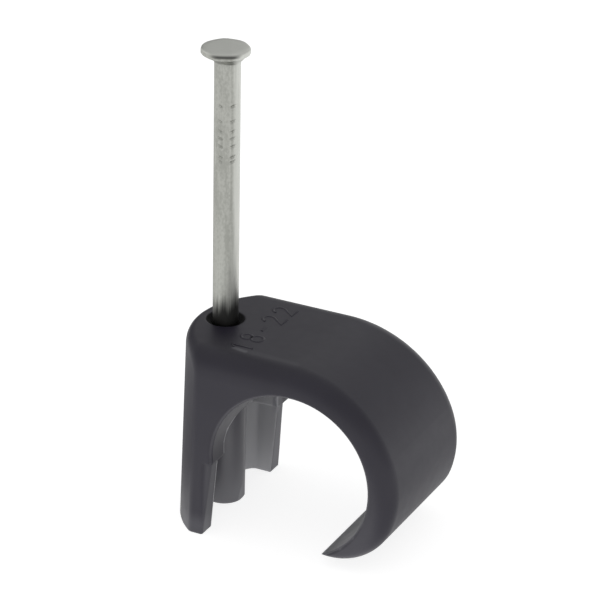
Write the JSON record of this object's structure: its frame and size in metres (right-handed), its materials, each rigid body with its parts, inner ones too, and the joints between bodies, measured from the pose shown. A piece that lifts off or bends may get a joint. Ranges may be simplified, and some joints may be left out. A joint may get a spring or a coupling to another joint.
{
  "type": "nail-in cable clip",
  "caption": "Moulded plastic hook-shaped clip for a round cable, with a masonry nail held ready in its guide hole.",
  "frame": {"origin": "on the nail's axis, in the plane of the wall that the clip is nailed to", "axes": "+Z along the nail away from the wall, +X from the nail towards the hook, +Y along the cable"},
  "size_m": [0.0303, 0.0194, 0.0564],
  "materials": {
    "clip_plastic": "satin moulded, dark grey",
    "nail_steel": "drawn wire, satin"
  },
  "bodies": {
    "clip": {"clip_body": "clip_plastic"},
    "nail": {"nail": "nail_steel"}
  },
  "joints": [
    {"name": "nail_drive", "type": "slide", "parent": "clip", "child": "nail", "axis": [0, 0, -1], "range_m": [0, 0.0323]}
  ]
}
